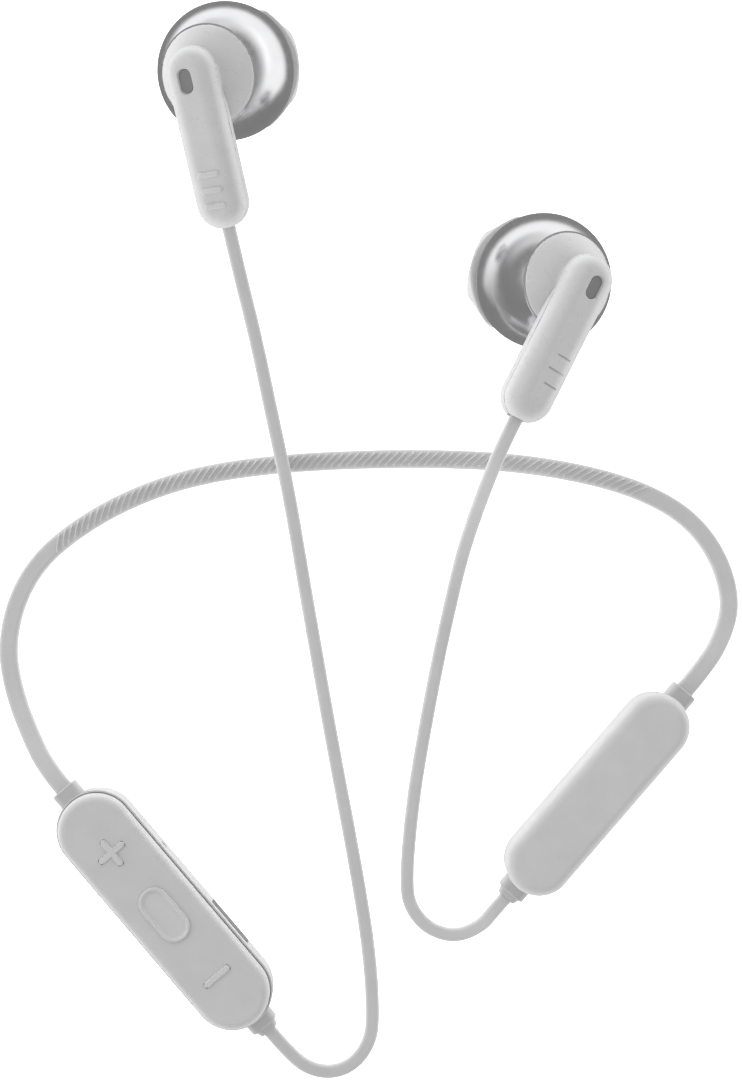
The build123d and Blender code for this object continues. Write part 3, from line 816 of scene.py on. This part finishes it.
def make_floor():
    """A white table top that lights itself, so it stays evenly pale."""
    corners = [(x * floor_reach, y * floor_reach, 0) for x, y in ((-1, -1), (1, -1), (1, 1), (-1, 1))]
    floor = link_mesh("floor", corners, [(0, 1, 2, 3)])
    floor.location.z = -floor_drop
    material, nodes, links, principled = shader("floor_white", (0.5, 0.5, 0.5), 0.9)
    principled.inputs["Specular IOR Level"].default_value = 0.0
    principled.inputs["Emission Color"].default_value = (1, 1, 1, 1)
    principled.inputs["Emission Strength"].default_value = 1.7
    floor.data.materials.append(material)
    floor.visible_glossy = False


def make_sky():
    """Soft studio light.  Shiny pieces mirror bright and dim bands; matt ones get a low even light."""
    world = bpy.data.worlds.new("studio")
    scene.world = world
    world.use_nodes = True
    nodes, links = world.node_tree.nodes, world.node_tree.links
    background = nodes["Background"]
    background.inputs["Color"].default_value = (1, 1, 1, 1)
    place = nodes.new("ShaderNodeTexCoord")
    split = nodes.new("ShaderNodeSeparateXYZ")
    links.new(place.outputs["Generated"], split.inputs[0])

    def mapped(output, low, high, to_low, to_high):
        node = nodes.new("ShaderNodeMapRange")
        node.inputs["From Min"].default_value = low
        node.inputs["From Max"].default_value = high
        node.inputs["To Min"].default_value = to_low
        node.inputs["To Max"].default_value = to_high
        node.interpolation_type = "SMOOTHSTEP"
        links.new(output, node.inputs["Value"])
        return node.outputs["Result"]

    def combined(operation, first, second):
        node = nodes.new("ShaderNodeMath")
        node.operation = operation
        for socket, value in zip(node.inputs, (first, second)):
            if isinstance(value, (int, float)):
                socket.default_value = value
            else:
                links.new(value, socket)
        return node.outputs[0]

    height, right, behind = split.outputs["Z"], split.outputs["X"], split.outputs["Y"]
    side = combined("ADD", combined("MULTIPLY", right, 0.35), combined("MULTIPLY", behind, 0.8))

    # What shiny pieces mirror: a wide band about the horizon, brightest behind and to the right ...
    in_front = combined("MULTIPLY", combined("MINIMUM", behind, 0.0), 0.5)
    at_back = combined("MULTIPLY", combined("MAXIMUM", behind, 0.0), -0.15)
    lower_edge = combined("ADD", height, combined("ADD", in_front, at_back))
    upper_edge = combined("ADD", height, combined("MULTIPLY", right, -0.15))
    band = combined("MULTIPLY", mapped(lower_edge, -0.66, -0.44, 0.0, 1.0),
                    mapped(upper_edge, 0.0, 0.3, 1.0, 0.0))
    band = combined("MULTIPLY", band, mapped(side, -0.8, 0.15, 0.0, 1.0))
    # ... a dimmer one above the horizon ...
    slope = combined("MULTIPLY", mapped(height, 0.05, 0.3, 0.0, 1.0), mapped(height, 0.38, 0.58, 1.0, 0.0))
    slope = combined("MULTIPLY", slope, mapped(side, -0.2, 0.8, 0.0, 0.7))
    # ... and a round patch overhead, over an even grey.
    top = combined("MULTIPLY", mapped(height, 0.72, 0.86, 0.0, 1.0), 0.95)
    mirrored = combined("ADD", combined("ADD", band, slope), combined("ADD", top, 0.27))

    # What lights matt pieces: a low band, brightest at the back left, over an even light.
    corner = combined("ADD", combined("MULTIPLY", right, -0.7), combined("MULTIPLY", behind, 0.5))
    low = combined("MULTIPLY", mapped(height, 0.35, 0.62, 1.0, 0.0), mapped(corner, -0.8, 0.8, 0.6, 1.9))
    soft = combined("ADD", low, 0.5)
    rays = nodes.new("ShaderNodeLightPath")
    choice = nodes.new("ShaderNodeMix")
    choice.data_type = "FLOAT"
    links.new(rays.outputs["Is Glossy Ray"], choice.inputs["Factor"])
    links.new(soft, choice.inputs["A"])
    links.new(mirrored, choice.inputs["B"])
    links.new(choice.outputs["Result"], background.inputs["Strength"])


camera_height = 0.3


def make_camera():
    """Straight above the middle of the layout, with the far side of the table at the top."""
    data = bpy.data.cameras.new("camera")
    data.lens = 72
    data.sensor_width = 36
    data.clip_start = 0.01
    camera = bpy.data.objects.new("camera", data)
    camera.location = (-layout_middle[0], -layout_middle[1], camera_height)
    scene.collection.objects.link(camera)
    scene.camera = camera


# ---------------------------------------------------------------- assembly
make_camera()
neck_cable = make_cable(
    "neck_cable", neck_route, neck_width, neck_thickness, step=0.0001, top_steps=26, lift=neck_ribs,
)
bud_cables = [
    make_cable(
        node, route, bud_cable_width, bud_cable_thickness, step=0.0004, top_steps=4, root=0.001,
    )
    for node, route in (("left_bud_cable", left_route), ("right_bud_cable", right_route))
]
for cable in (neck_cable, *bud_cables):
    dress(cable, "cable_rubber")
for bud_side in ("left", "right"):
    dress(make_outer_shell(bud_side), "bud_plastic")
    dress(make_front_shell(bud_side), "bud_plastic")
    dress(make_grommet(bud_side), "collar_rubber")
for key_name in key_profiles:
    dress(make_key(key_name), "key_plastic")
dress_cad_nodes()
make_floor()
make_sky()
scene.view_settings.view_transform = "Standard"
